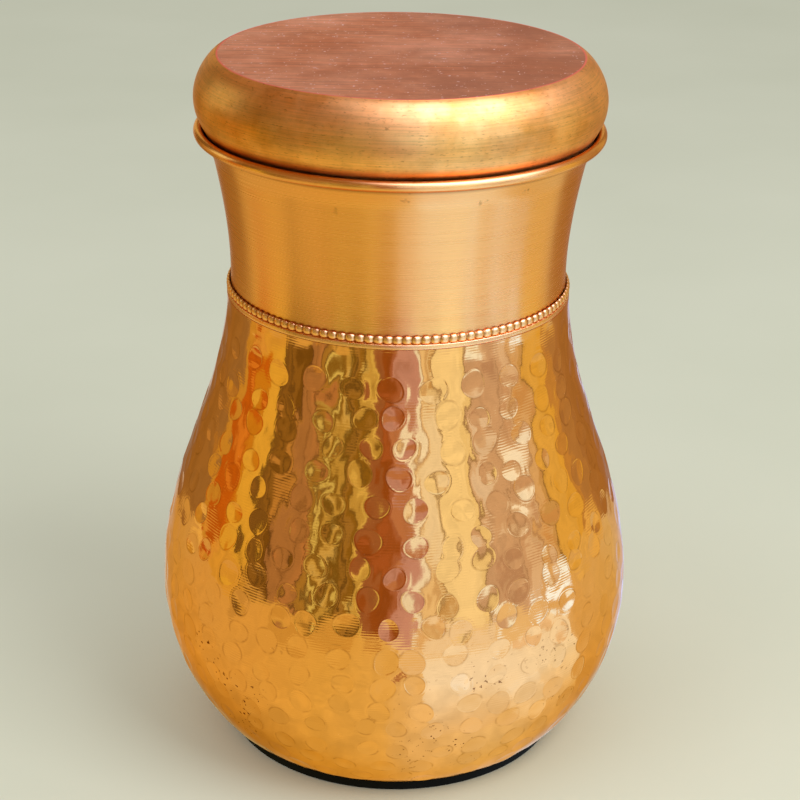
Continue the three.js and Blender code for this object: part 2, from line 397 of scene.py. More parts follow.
def makeBackWall():
    # Where the wall behind the jug meets the floor: brown beyond it, on both sides
    far, back = room["radius"], room["backWall"]
    pieces = room["backPieces"]
    height = room["step"] * room["backLift"]
    patches = []
    for side, colour in ((-1, "#9a632d"), (1, "#a86c38")):
        edge = math.degrees(math.acos(-back / far)) * side
        span = room["backReach"] * side - edge
        for number in range(pieces):
            start = edge + span * number / pieces
            end = edge + span * (number + 1) / pieces
            middle = math.radians((start + end) / 2)
            near = back / -math.cos(middle)
            patches.append((start, end, ((near, height), (far, height)), plain(colour)))
    backGlow = glowMaterial("painted reflection back", spots=(25, 25, 50), darkest=0.9, lightest=1.1)
    paintedCard("paintedReflectionBack", patches, backGlow)


def makeSky():
    world = bpy.data.worlds.new("room")
    bpy.context.scene.world = world
    world.use_nodes = True
    tree = world.node_tree
    tree.nodes.clear()
    aim = addNode(tree, "TexCoord")
    facing = addNode(tree, "VectorMath", {
        0: aim.outputs["Generated"], 1: room["skyAim"]}, operation="DOT_PRODUCT")
    edges = room["skyEdges"]
    share = addNode(tree, "MapRange", {0: facing.outputs["Value"], 1: edges[0], 2: edges[1]},
                    interpolation_type="SMOOTHSTEP")
    split = addNode(tree, "SeparateXYZ", {0: aim.outputs["Generated"]})
    left = addNode(tree, "MapRange", {0: split.outputs["X"], 1: room["leftStarts"], 2: room["leftFull"]})
    dim = addNode(tree, "MixRGB", {0: left.outputs[0], 1: room["skyDim"], 2: room["skyLeft"]})
    sky = addNode(tree, "MixRGB", {0: share.outputs[0], 1: dim.outputs[0], 2: room["skyBright"]})
    ray = addNode(tree, "LightPath")
    seen = addNode(tree, "MixRGB", {
        0: ray.outputs["Is Glossy Ray"], 1: linearColour(room["skySeen"]), 2: sky.outputs[0]})
    back = addNode(tree, "Background", {0: seen.outputs[0], 1: 1.0})
    addNode(tree, "OutputWorld", {0: back.outputs[0]})
    world.cycles.sampling_method = "NONE"


def makeFloor():
    material, tree = newMaterial("pale stone floor")
    place = addNode(tree, "TexCoord")
    drift = addNode(tree, "TexNoise", {
        "Vector": place.outputs["Object"], "Scale": every(167), "Detail": 3.0})
    colour = addNode(tree, "MixRGB", {
        0: drift.outputs["Fac"], 1: linearColour("#cdd1c0"), 2: linearColour("#d9dccd")})
    shader = addNode(tree, "BsdfPrincipled", {
        "Base Color": colour.outputs[0], "Roughness": 0.7, "Specular IOR Level": 0.0})
    finishMaterial(tree, shader)
    mesh = bpy.data.meshes.new("floor")
    half = 4.0
    corners = [(-half, -half, 0), (half, -half, 0), (half, half, 0), (-half, half, 0)]
    mesh.from_pydata(corners, [], [(0, 1, 2, 3)])
    mesh.materials.append(material)
    floor = bpy.data.objects.new("floor", mesh)
    bpy.context.scene.collection.objects.link(floor)
    floor.visible_glossy = False


def softLight(name, place, target, size, power):
    data = bpy.data.lights.new(name, "AREA")
    data.size = size
    data.energy = power
    light = bpy.data.objects.new(name, data)
    bpy.context.scene.collection.objects.link(light)
    light.location = place
    aim = light.location - Matrix.Translation(target).translation
    light.rotation_euler = aim.to_track_quat("Z", "Y").to_euler()
    light.visible_glossy = False


makeRoom()
makeFloor()
softLight("keyLight", place=(0.55, -0.45, 0.85), target=(0, 0, 0.08), size=0.6, power=5.0)
softLight("fillLight", place=(-0.7, -0.5, 0.6), target=(0, 0, 0.05), size=0.7, power=1.5)
bpy.context.scene.view_settings.view_transform = "Standard"
print("room, floor and lights ready")


# Finishes

edgeTint = linearColour("#f3cba2")  # what copper keeps of its colour at a glancing angle


def hammeredCopper():
    # Spun copper sheet, hammered and mirror polished: sharp reflections that bend in every mark, a crisp
    # rim round each one, faint lathe lines between them and a few brown tarnish specks low on the belly
    material, tree = newMaterial("mirror polished hammered copper")
    place = addNode(tree, "TexCoord").outputs["Object"]
    drift = addNode(tree, "TexNoise", {"Vector": place, "Scale": every(55.6), "Detail": 3.0})
    colour = addNode(tree, "MixRGB", {
        0: drift.outputs["Fac"], 1: linearColour("#f9ac59"), 2: linearColour("#f6af69")})
    # Tarnish specks 0.3 to 0.9 mm wide, gathered in drifts
    gather = addNode(tree, "TexNoise", {"Vector": place, "Scale": every(26.3), "Detail": 2.0})
    gathered = addNode(tree, "MapRange", {0: gather.outputs["Fac"], 1: 0.56, 2: 0.66})
    speck = addNode(tree, "TexNoise", {"Vector": place, "Scale": every(1.22), "Detail": 2.0})
    small = addNode(tree, "MapRange", {0: speck.outputs["Fac"], 1: 0.655, 2: 0.685})
    split = addNode(tree, "SeparateXYZ", {0: place})
    low = addNode(tree, "MapRange", {0: split.outputs["Z"], 1: 60 * mm, 2: 45 * mm})
    here = addNode(tree, "Math", {0: gathered.outputs[0], 1: low.outputs[0]}, operation="MULTIPLY")
    specks = addNode(tree, "Math", {0: here.outputs[0], 1: small.outputs[0]}, operation="MULTIPLY")
    marked = addNode(tree, "MixRGB", {
        0: specks.outputs[0], 1: colour.outputs[0], 2: linearColour("#6a2a0a")})
    # Slow unevenness about 5 mm across, left in the sheet by hammering
    uneven = addNode(tree, "TexNoise", {"Vector": place, "Scale": every(5), "Detail": 2.0})
    buckle = addNode(tree, "Bump", {
        "Height": uneven.outputs["Fac"], "Distance": 0.045 * mm, "Strength": 1.0})
    # Lathe lines in patches: a wave texture of scale 1 repeats every 2 pi / 20 of a metre
    lineSpacing = 0.75  # mm
    lines = addNode(tree, "TexWave", {
        "Vector": place, "Scale": 2 * math.pi / 20 * every(lineSpacing), "Distortion": 2.6, "Detail": 2.0,
        "Detail Scale": 0.35}, wave_type="BANDS", bands_direction="Z")
    patch = addNode(tree, "TexNoise", {"Vector": place, "Scale": every(16.7), "Detail": 2.0})
    patches = addNode(tree, "MapRange", {0: patch.outputs["Fac"], 1: 0.42, 2: 0.64, 3: 0.06, 4: 1.0})
    ripple = addNode(tree, "Math", {0: lines.outputs["Fac"], 1: patches.outputs[0]}, operation="MULTIPLY")
    lathe = addNode(tree, "Bump", {
        "Height": ripple.outputs[0], "Distance": 0.008 * mm, "Strength": 1.0, "Normal": buckle.outputs[0]})
    # Rim of each mark: a ridge exp(-((q - 1) / rimWidth)^2), q being the distance over the mark's radius
    rimWidth = 0.08
    reach = addNode(tree, "Attribute", attribute_name="reach")
    away = addNode(tree, "Math", {0: reach.outputs["Fac"], 1: 1.0}, operation="SUBTRACT")
    scaled = addNode(tree, "Math", {0: away.outputs[0], 1: rimWidth}, operation="DIVIDE")
    square = addNode(tree, "Math", {0: scaled.outputs[0], 1: scaled.outputs[0]}, operation="MULTIPLY")
    ridge = addNode(tree, "Math", {0: math.exp(-1), 1: square.outputs[0]}, operation="POWER")
    rim = addNode(tree, "Bump", {
        "Height": ridge.outputs[0], "Distance": 0.02 * mm, "Strength": 1.0, "Normal": lathe.outputs[0]})
    # A thin brown line on part of each rim
    broken = addNode(tree, "TexNoise", {"Vector": place, "Scale": every(3.85), "Detail": 2.0})
    kept = addNode(tree, "MapRange", {0: broken.outputs["Fac"], 1: 0.45, 2: 0.62, 4: 0.34})
    lined = addNode(tree, "Math", {0: kept.outputs[0], 1: ridge.outputs[0]}, operation="MULTIPLY")
    rimmed = addNode(tree, "MixRGB", {
        0: lined.outputs[0], 1: marked.outputs[0], 2: linearColour("#8a4a12")})
    gloss = addNode(tree, "MapRange", {0: drift.outputs["Fac"], 3: 0.05, 4: 0.11})
    shader = addNode(tree, "BsdfPrincipled", {
        "Base Color": rimmed.outputs[0], "Metallic": 1.0, "Roughness": gloss.outputs[0],
        "Specular Tint": edgeTint, "Normal": rim.outputs[0]})
    finishMaterial(tree, shader)
    return material


def ringMask(tree, place, centre, half, soft):
    # 1 where the distance from the Z axis is within half of centre, falling to 0 over soft beyond
    split = addNode(tree, "SeparateXYZ", {0: place})
    flat = addNode(tree, "CombineXYZ", {0: split.outputs["X"], 1: split.outputs["Y"]})
    radius = addNode(tree, "VectorMath", {0: flat.outputs[0]}, operation="LENGTH")
    away = addNode(tree, "Math", {0: radius.outputs["Value"], 1: centre}, operation="SUBTRACT")
    size = addNode(tree, "Math", {0: away.outputs[0]}, operation="ABSOLUTE")
    return addNode(tree, "MapRange", {0: size.outputs[0], 1: half + soft, 2: half}).outputs[0]


def satinCopper():
    # Lathe-spun copper left satin: sharp from side to side, drawn out up and down by the fine rings;
    # painted light low on the neck; painted shade in the crease of the rim where the lid sits; a few brown
    # stains under the rim
    material, tree = newMaterial("satin spun copper")
    place = addNode(tree, "TexCoord").outputs["Object"]
    stretch = addNode(tree, "Mapping", {0: place, 3: (every(83.3), every(83.3), every(0.385))})
    rings = addNode(tree, "TexNoise", {"Vector": stretch.outputs[0], "Scale": 1.0, "Detail": 2.0})
    drift = addNode(tree, "TexNoise", {"Vector": place, "Scale": every(45.5), "Detail": 3.0})
    colour = addNode(tree, "MixRGB", {
        0: drift.outputs["Fac"], 1: linearColour("#f7ac5d"), 2: linearColour("#fcb369")})
    shade = addNode(tree, "MapRange", {0: rings.outputs["Fac"], 1: 0.3, 2: 0.7, 3: 0.96, 4: 1.05})
    split = addNode(tree, "SeparateXYZ", {0: place})
    # Painted light: the lower neck is made up to 8% brighter towards the body's top
    paintedLowLight = addNode(tree, "MapRange", {
        0: split.outputs["Z"], 1: bodyTop + 26 * mm, 2: bodyTop + 4 * mm, 3: 1.0, 4: 1.08})
    bright = addNode(tree, "Math", {0: shade.outputs[0], 1: paintedLowLight.outputs[0]}, operation="MULTIPLY")
    ringed = addNode(tree, "MixRGB", {
        0: 1.0, 1: colour.outputs[0], 2: bright.outputs[0]}, blend_type="MULTIPLY")
    stain = addNode(tree, "TexNoise", {
        "Vector": place, "Scale": every(6.25), "Detail": 3.0, "Roughness": 0.7})
    stained = addNode(tree, "MapRange", {0: stain.outputs["Fac"], 1: 0.66, 2: 0.72, 4: 0.55})
    nearRim = addNode(tree, "MapRange", {
        0: split.outputs["Z"], 1: curlHeight - 12 * mm, 2: curlHeight - 6 * mm})
    under = addNode(tree, "Math", {0: stained.outputs[0], 1: nearRim.outputs[0]}, operation="MULTIPLY")
    stains = addNode(tree, "MixRGB", {
        0: under.outputs[0], 1: ringed.outputs[0], 2: linearColour("#7a4016")})
    # Painted shade: near black in the crease of the rim, where the lid sits
    crease = ringMask(tree, place, neck["mouthRadius"] - 0.4 * mm, 0.9 * mm, 0.8 * mm)
    atRim = addNode(tree, "MapRange", {
        0: split.outputs["Z"], 1: curlHeight - 3 * mm, 2: curlHeight - 1 * mm})
    paintedCreaseShade = addNode(tree, "Math", {0: crease, 1: atRim.outputs[0]}, operation="MULTIPLY")
    creaseShaded = addNode(tree, "MixRGB", {0: paintedCreaseShade.outputs[0], 1: stains.outputs[0], 2: linearColour("#2e1206")})
    gloss = addNode(tree, "MapRange", {0: rings.outputs["Fac"], 1: 0.3, 2: 0.7, 3: 0.25, 4: 0.31})
    bump = addNode(tree, "Bump", {"Height": rings.outputs["Fac"], "Distance": 0.0016 * mm, "Strength": 1.0})
    around = addNode(tree, "Tangent", direction_type="RADIAL", axis="Z")
    shader = addNode(tree, "BsdfPrincipled", {
        "Base Color": creaseShaded.outputs[0], "Metallic": 1.0, "Roughness": gloss.outputs[0],
        "Anisotropic": 0.7, "Anisotropic Rotation": 0.25, "Tangent": around.outputs[0],
        "Specular Tint": edgeTint, "Normal": bump.outputs[0]})
    finishMaterial(tree, shader)
    return material


def beadedCopper():
    # Stamped pearl strip: bright crests, darker brown in the hollows between them
    material, tree = newMaterial("stamped and rubbed copper pearls")
    place = addNode(tree, "TexCoord").outputs["Object"]
    hollow = addNode(tree, "Attribute", attribute_name="hollow")
    dark = addNode(tree, "MapRange", {0: hollow.outputs["Fac"], 1: 0.5, 2: 1.0})
    colour = addNode(tree, "MixRGB", {
        0: dark.outputs[0], 1: linearColour("#ffbf79"), 2: linearColour("#b87838")})
    grain = addNode(tree, "TexNoise", {"Vector": place, "Scale": every(1.11), "Detail": 2.0})
    gloss = addNode(tree, "MapRange", {0: grain.outputs["Fac"], 3: 0.20, 4: 0.38})
    shader = addNode(tree, "BsdfPrincipled", {
        "Base Color": colour.outputs[0], "Metallic": 1.0, "Roughness": gloss.outputs[0],
        "Specular Tint": edgeTint})
    finishMaterial(tree, shader)
    return material


def brushedCopper():
    # Lid: lathe-brushed side, stained brown in clouds, painted shade where it meets the rim; the flat top
    # is matt and pinker, brushed straight across, with scratches, stains and white dust, and a painted
    # highlight round its edge
    material, tree = newMaterial("lathe brushed copper lid")
    place = addNode(tree, "TexCoord").outputs["Object"]
    split = addNode(tree, "SeparateXYZ", {0: place})
    topHeight = capHigh.z
    onTop = addNode(tree, "MapRange", {
        0: split.outputs["Z"], 1: topHeight - 0.06 * mm, 2: topHeight - 0.02 * mm})
    # Side
    stretch = addNode(tree, "Mapping", {0: place, 3: (every(22.2), every(22.2), every(0.417))})
    rings = addNode(tree, "TexNoise", {
        "Vector": stretch.outputs[0], "Scale": 1.0, "Detail": 4.0, "Roughness": 0.6})
    cloud = addNode(tree, "TexNoise", {
        "Vector": place, "Scale": every(33.3), "Detail": 5.0, "Roughness": 0.6})
    clouded = addNode(tree, "MapRange", {0: cloud.outputs["Fac"], 1: 0.38, 2: 0.58})
    sideColour = addNode(tree, "MixRGB", {
        0: clouded.outputs[0], 1: linearColour("#e59135"), 2: linearColour("#ffb865")})
    lined = addNode(tree, "MapRange", {0: rings.outputs["Fac"], 1: 0.3, 2: 0.62, 3: 0.82, 4: 1.04})
    mottle = addNode(tree, "TexNoise", {
        "Vector": place, "Scale": every(10.5), "Detail": 6.0, "Roughness": 0.75})
    mottled = addNode(tree, "MapRange", {0: mottle.outputs["Fac"], 1: 0.36, 2: 0.60, 3: 0.86, 4: 1.03})
    shade = addNode(tree, "Math", {0: lined.outputs[0], 1: mottled.outputs[0]}, operation="MULTIPLY")
    side = addNode(tree, "MixRGB", {
        0: 1.0, 1: sideColour.outputs[0], 2: shade.outputs[0]}, blend_type="MULTIPLY")
    dash = addNode(tree, "Mapping", {0: place, 3: (every(1.43), every(1.43), every(0.385))})
    pit = addNode(tree, "TexNoise", {"Vector": dash.outputs[0], "Scale": 1.0, "Detail": 2.0})
    pits = addNode(tree, "MapRange", {0: pit.outputs["Fac"], 1: 0.60, 2: 0.74, 4: 0.45})
    pitted = addNode(tree, "MixRGB", {0: pits.outputs[0], 1: side.outputs[0], 2: linearColour("#8c4c18")})
    # Painted shade: near black low on the side, where it tucks into the rim
    seatHigh = curlHeight + 1.1 * mm
    paintedCreaseShade = addNode(tree, "MapRange", {
        0: split.outputs["Z"], 1: seatHigh, 2: curlHeight - 0.2 * mm, 4: 0.96})
    creaseShaded = addNode(tree, "MixRGB", {0: paintedCreaseShade.outputs[0], 1: pitted.outputs[0], 2: linearColour("#34160a")})
    # Top
    across = addNode(tree, "Mapping", {0: place, 3: (every(33.3), every(1.25), every(1000))})
    brushing = addNode(tree, "TexNoise", {
        "Vector": across.outputs[0], "Scale": 1.0, "Detail": 4.0, "Roughness": 0.7})
    topCloud = addNode(tree, "TexNoise", {
        "Vector": place, "Scale": every(23.8), "Detail": 6.0, "Roughness": 0.66})
    topShare = addNode(tree, "MapRange", {0: topCloud.outputs["Fac"], 1: 0.36, 2: 0.62})
    topColour = addNode(tree, "MixRGB", {
        0: topShare.outputs[0], 1: linearColour("#db915f"), 2: linearColour("#f6b886")})
    brushed = addNode(tree, "MapRange", {0: brushing.outputs["Fac"], 1: 0.32, 2: 0.66, 3: 0.82, 4: 1.12})
    topLined = addNode(tree, "MixRGB", {
        0: 1.0, 1: topColour.outputs[0], 2: brushed.outputs[0]}, blend_type="MULTIPLY")
    patina = addNode(tree, "TexNoise", {
        "Vector": place, "Scale": every(41.7), "Detail": 7.0, "Roughness": 0.7})
    lean = addNode(tree, "Math", {0: split.outputs["X"], 1: 2.2, 2: 0.0}, operation="MULTIPLY_ADD")
    leaning = addNode(tree, "Math", {0: patina.outputs["Fac"], 1: lean.outputs[0]}, operation="ADD")
    browned = addNode(tree, "MapRange", {0: leaning.outputs[0], 1: 0.46, 2: 0.68, 4: 0.8})
    stained = addNode(tree, "MixRGB", {
        0: browned.outputs[0], 1: topLined.outputs[0], 2: linearColour("#c5865d")})
    dust = addNode(tree, "TexNoise", {"Vector": place, "Scale": every(1.053), "Detail": 1.0})
    dusty = addNode(tree, "MapRange", {0: dust.outputs["Fac"], 1: 0.705, 2: 0.735, 4: 0.85})
    topSpecked = addNode(tree, "MixRGB", {
        0: dusty.outputs[0], 1: stained.outputs[0], 2: linearColour("#ffefdf")})
    # Painted highlight: a bright pink ring round the edge of the top
    edge = ringMask(tree, place, lid["topRadius"] - 0.5 * mm, 0.2 * mm, 0.3 * mm)
    topEdgeHighlighted = addNode(tree, "MixRGB", {0: edge, 1: topSpecked.outputs[0], 2: linearColour("#fd8e6c")})
    colour = addNode(tree, "MixRGB", {0: onTop.outputs[0], 1: creaseShaded.outputs[0], 2: topEdgeHighlighted.outputs[0]})
    gloss = addNode(tree, "MapRange", {0: onTop.outputs[0], 3: 0.40, 4: 0.50})
    height = addNode(tree, "MixRGB", {
        0: onTop.outputs[0], 1: rings.outputs["Fac"], 2: brushing.outputs["Fac"]})
    bump = addNode(tree, "Bump", {"Height": height.outputs[0], "Distance": 0.006 * mm, "Strength": 1.0})
    shader = addNode(tree, "BsdfPrincipled", {
        "Base Color": colour.outputs[0], "Metallic": 1.0, "Roughness": gloss.outputs[0],
        "Specular Tint": edgeTint, "Normal": bump.outputs[0]})
    finishMaterial(tree, shader)
    return material


def plainCopper():
    # Unpolished copper inside the lid: dull, red-brown and cloudy
    material, tree = newMaterial("dull unpolished copper")
    place = addNode(tree, "TexCoord").outputs["Object"]
    cloud = addNode(tree, "TexNoise", {"Vector": place, "Scale": every(20), "Detail": 5.0})
    colour = addNode(tree, "MixRGB", {
        0: cloud.outputs["Fac"], 1: linearColour("#a85e36"), 2: linearColour("#d08a58")})
    gloss = addNode(tree, "MapRange", {0: cloud.outputs["Fac"], 3: 0.38, 4: 0.52})
    shader = addNode(tree, "BsdfPrincipled", {
        "Base Color": colour.outputs[0], "Metallic": 1.0, "Roughness": gloss.outputs[0],
        "Specular Tint": edgeTint})
    finishMaterial(tree, shader)
    return material


def blackRubber():
    # Moulded black rubber: deep black, hardly any sheen, a fine grain and a little floor dust
    material, tree = newMaterial("moulded black rubber")
    place = addNode(tree, "TexCoord").outputs["Object"]
    grain = addNode(tree, "TexNoise", {"Vector": place, "Scale": every(0.555), "Detail": 2.0})
    dust = addNode(tree, "TexNoise", {"Vector": place, "Scale": every(8.33), "Detail": 4.0})
    colour = addNode(tree, "MixRGB", {
        0: dust.outputs["Fac"], 1: linearColour("#060505"), 2: linearColour("#100f0e")})
    bump = addNode(tree, "Bump", {"Height": grain.outputs["Fac"], "Distance": 0.01 * mm, "Strength": 0.6})
    shader = addNode(tree, "BsdfPrincipled", {
        "Base Color": colour.outputs[0], "Roughness": 0.6, "Specular IOR Level": 0.06,
        "Normal": bump.outputs[0]})
    finishMaterial(tree, shader)
    return material


# Rubber foot

foot = {
    "width": 6.5 * mm,
    "chamfer": 0.6 * mm,  # round of the outer lower edge
    "softEdge": 0.25 * mm,  # round of the outer upper edge
    "columns": 192,
}


def makeFoot():
    # A square ring, with both outer edges rounded
    outside, top = footHigh.x, footHigh.z
    inside = outside - foot["width"]
    chamfer, soft = foot["chamfer"], foot["softEdge"]
    outline = np.vstack([
        straight((inside, 0), (outside - chamfer, 0), 4),
        arc((outside - chamfer, chamfer), chamfer, -90, 0, 6),
        straight((outside, chamfer), (outside, top - soft), 6),
        arc((outside - soft, top - soft), soft, 0, 90, 4),
        straight((outside - soft, top), (inside, top), 4),
        straight((inside, top), (inside, 0), 4),
    ])
    piece = turnOutline("blackRubberFoot", outline, foot["columns"], blackRubber(), smoothAngle=50)
    standFor(piece, "jug", "rubber_foot")


# Hammered body

body = {
    "heelRadius": 52.7 * mm,  # where the wall starts, just above the underside
    "heelRise": 0.4 * mm,
    "bellyRise": 44.3 * mm,  # widest ring above the underside
    # Handles of the wall's two curves, as shares of the way across and of the height of each part
    "heelPull": (0.5, 0.195),
    "lowerPull": 0.463,
    "upperPull": 0.355,
    "topPull": 0.33,
    "kickRadius": 38 * mm,  # the raised middle of the floor, and the slope round it
    "kickRise": 2 * mm,
    "kickSlope": 3 * mm,
    "columns": 540,
    "rows": 160,
    "innerRows": 14,
    "firstRow": 5.5 * mm,  # of hammer marks, along the wall from the heel
    "lastGap": 4.5 * mm,  # kept clear of marks under the top edge
    "markRows": 8.3 * mm,  # between two rows
    "markPitch": 11.2 * mm,  # along a row
    "markStray": (1.0 * mm, 1.3 * mm),  # how far a mark strays up the wall and along its row
    "markRadius": 3.4 * mm,
    "radiusRange": (0.86, 1.12),
    "markDepth": 0.175 * mm,
    "depthRange": (0.7, 1.15),
    "crispShare": 0.35,
    "ovalShare": 0.07,  # how far the marks are out of round
    "cornerShare": 0.035,
    "markLip": 0.045 * mm,  # metal pushed up round a mark
    "lipPlace": 1.12,  # its crest and its width, as shares of the mark's radius
    "lipWidth": 0.22,
    "waves": 60,
    "waveTurns": 34,  # the quickest wave has fewer than this round the body
    "waveLength": 14 * mm,  # the shortest wave up the wall
    "waviness": 0.012 * mm,  # height of each slow wave left by hammering
    "calmTop": 2.5 * mm,  # the hammering fades over this length under the top edge, and at the heel
    "calmHeel": 2.0 * mm,
    "noMark": 2.0,  # distance in mark radii that stands for no mark near
}


def bodyOutline():
    # Full belly and long drawn-in shoulder: two cubic curves that meet at the widest ring
    heel = np.array((body["heelRadius"], bodyLow.z + body["heelRise"]))
    belly = np.array((bodyHigh.x, bodyLow.z + body["bellyRise"]))
    top = np.array((bodyTopRadius, bodyTop))
    lower, upper = belly[1] - heel[1], top[1] - belly[1]
    out, up = body["heelPull"]
    heelHandle = (heel[0] + (belly[0] - heel[0]) * out, heel[1] + lower * up)
    lowerHandle = (belly[0], belly[1] - lower * body["lowerPull"])
    upperHandle = (belly[0], belly[1] + upper * body["upperPull"])
    topHandle = (top[0] + seamGap, top[1] - upper * body["topPull"])
    return np.vstack([
        heel[None],
        bend(heel, heelHandle, lowerHandle, belly, 400),
        bend(belly, upperHandle, topHandle, top, 600),
    ])


def hammerMarks(outline, random):
    # Rows of marks up the wall, set by a steady but human hand: each has its place along the wall, its
    # angle, its radius and its depth
    run = arcLengths(outline)
    strayUp, strayAlong = body["markStray"]
    marks = []
    place = body["firstRow"]
    while place < run[-1] - body["lastGap"]:
        radius = np.interp(place, run, outline[:, 0])
        count = round(2 * math.pi * radius / body["markPitch"])
        pitch = 2 * math.pi / count
        start = random.uniform(0, pitch)
        for number in range(count):
            marks.append((
                place + random.normal(0, strayUp),
                start + number * pitch + random.normal(0, strayAlong) / radius,
                body["markRadius"] * random.uniform(*body["radiusRange"]),
                body["markDepth"] * random.uniform(*body["depthRange"]),
            ))
        place += body["markRows"]
    return marks


def outOfRound(way, random):
    # How much nearer a mark's rim lies in the direction way: two slow waves round it, of its own
    oval, corners = random.uniform(0, 2 * np.pi, 2)
    return 1 + body["ovalShare"] * np.sin(2 * way + oval) + body["cornerShare"] * np.sin(3 * way + corners)


def hammeredDepth(outline, columns, random):
    # Depth at each (row, column): each mark is a shallow bowl -d(s(1 - q^2) + (1 - s)(1 - q^2)^2) for
    # q = distance / radius < 1, s being the share of it that has a crisp edge, with a low raised lip
    # round it; slow waves between them are a sum of sines of whole turns
    run = arcLengths(outline)[:, None]
    turn = np.linspace(0, 2 * np.pi, columns, endpoint=False)[None, :]
    radius = outline[:, 0][:, None]
    waves = np.zeros((len(outline), columns))
    for _ in range(body["waves"]):
        turns = random.integers(0, body["waveTurns"])
        rise = random.uniform(-1, 1) * 2 * np.pi / body["waveLength"]
        waves += np.sin(turns * turn + rise * run + random.uniform(0, 2 * np.pi))
    depth = waves * body["waviness"]
    bowls = np.zeros_like(depth)
    lips = np.zeros_like(depth)
    reach = np.full_like(depth, body["noMark"])
    crisp = body["crispShare"]
    for place, angle, size, deep in hammerMarks(outline, random):
        near = np.abs(run[:, 0] - place) < size * body["noMark"]
        across = (turn - angle + np.pi) % (2 * np.pi) - np.pi
        up, aside = (run[near] - place) / size, across * radius[near] / size
        q = np.hypot(up, aside) * outOfRound(np.arctan2(up, aside), random)
        bowl = np.clip(1 - q ** 2, 0, None)
        bowls[near] = np.minimum(bowls[near], -deep * (crisp * bowl + (1 - crisp) * bowl ** 2))
        lips[near] += body["markLip"] * np.exp(-((q - body["lipPlace"]) / body["lipWidth"]) ** 2)
        reach[near] = np.minimum(reach[near], q)
    calm = np.clip((run[-1] - run) / body["calmTop"], 0, 1) * np.clip(run / body["calmHeel"], 0, 1)
    return (depth + bowls + np.where(bowls < 0, 0, lips)) * calm, reach


def makeBody():
    # The outside wall is the outline moved out along its normal by the hammered depth; the inside is the
    # outline one sheet further in, and both floors close on the axis
    random = np.random.default_rng(7)
    columns = body["columns"]
    outline = evenly(bodyOutline(), body["rows"])
    outward = -outlineNormals(outline)
    depth, wallReach = hammeredDepth(outline, columns, random)
    wallRadius = outline[:, :1] + outward[:, :1] * depth
    wallHeight = outline[:, 1:] + outward[:, 1:] * depth
    inner = evenly(outline - outward * sheet, body["innerRows"])[::-1]
    inner[0, 1] = bodyTop
    low, kick = bodyLow.z, bodyLow.z + body["kickRise"]
    under = np.array([
        (body["kickRadius"] * 0.5, kick),
        (body["kickRadius"], kick),
        (body["kickRadius"] + body["kickSlope"], low),
        (body["heelRadius"] - body["heelRise"], low),
    ])
    floor = np.array([
        (body["kickRadius"] + body["kickSlope"] * 1.2, low + sheet),
        (body["kickRadius"], kick + sheet),
        (body["kickRadius"] * 0.5, kick + sheet),
    ])
    spread = np.ones((1, columns))
    smooth = np.vstack([inner, floor])
    radii = np.vstack([under[:, :1] * spread, wallRadius, smooth[:, :1] * spread])
    heights = np.vstack([under[:, 1:] * spread, wallHeight, smooth[:, 1:] * spread])
    poles = (kick, kick + sheet)
    piece = turnedPiece("hammeredBelly", radii, heights, hammeredCopper(), poles, smoothAngle=60)
    reach = np.full(radii.shape, body["noMark"])
    reach[len(under):len(under) + len(outline)] = wallReach
    atPoles = (body["noMark"],) * 2
    paintPoints(piece, "reach", np.append(reach.ravel(), atPoles))
    standFor(piece, "jug", "hammered_body")


# Spun neck with its curled rim

neck = {
    "curlRadius": 1.45 * mm,  # outside of the rolled rim
    "mouthRadius": 54.85 * mm,  # inner side of the rolled rim
    "mouthTurn": 3.45 * mm,  # how far the last of the flare goes out
    "flareDrop": 7.7 * mm,  # and how far it rises
    "straightRise": 2.8 * mm,  # of the straight lower end, over the body's top
    # Handles of the neck's two curves, as shares of each one's height, out and up
    "throatPull": 0.31,
    "flarePull": (0.073, 0.336),
    "turnPull": (0.08, 0.38),
    "curlPull": (0.07, 0.28),
    "curlAngles": (165, -105),  # degrees, from the inside over the top to under the rim
    "columns": 288,
}
neckWallRadius = bodyTopRadius - lapGap - sheet  # outside of the neck's straight lower end
curlHeight = neckHigh.z - neck["curlRadius"]


def neckInside():
    inside = neckWallRadius - sheet
    throat = np.array((inside, bodyTop + neck["straightRise"]))
    flare = np.array((neck["mouthRadius"] - neck["mouthTurn"], curlHeight - neck["flareDrop"]))
    span = flare[1] - throat[1]
    out, up = neck["flarePull"]
    throatHandle = (throat[0] - seamGap * 2, throat[1] + span * neck["throatPull"])
    flareHandle = (flare[0] - span * out, flare[1] - span * up)
    return np.vstack([
        [[inside, neckLow.z]],
        straight((inside, neckLow.z), throat, 6),
        bend(throat, throatHandle, flareHandle, flare, 40),
    ])


def makeNeck():
    # The inside line runs up the wall, out with the flare and round the curl; the outside is the same
    # line one sheet further out
    wall = neckInside()
    flare = wall[-1]
    centre = (neck["mouthRadius"] + neck["curlRadius"], curlHeight)
    first, last = neck["curlAngles"]
    start = arc(centre, neck["curlRadius"], first, first, 1)[0]
    drop = neck["flareDrop"]
    turnOut, turnUp = neck["turnPull"]
    curlOut, curlUp = neck["curlPull"]
    flareHandle = (flare[0] + drop * turnOut, flare[1] + drop * turnUp)
    curlHandle = (start[0] - drop * curlOut, start[1] - drop * curlUp)
    inside = np.vstack([
        wall,
        bend(flare, flareHandle, curlHandle, start, 14),
        arc(centre, neck["curlRadius"], first, last, 36),
    ])
    outside = inside - outlineNormals(inside) * sheet
    outside[0, 1] = inside[0, 1]
    outline = np.vstack([outside, inside[::-1]])
    piece = turnOutline("spunNeck", outline, neck["columns"], satinCopper(), smoothAngle=50)
    standFor(piece, "jug", "neck")


# String of pearls over the joint

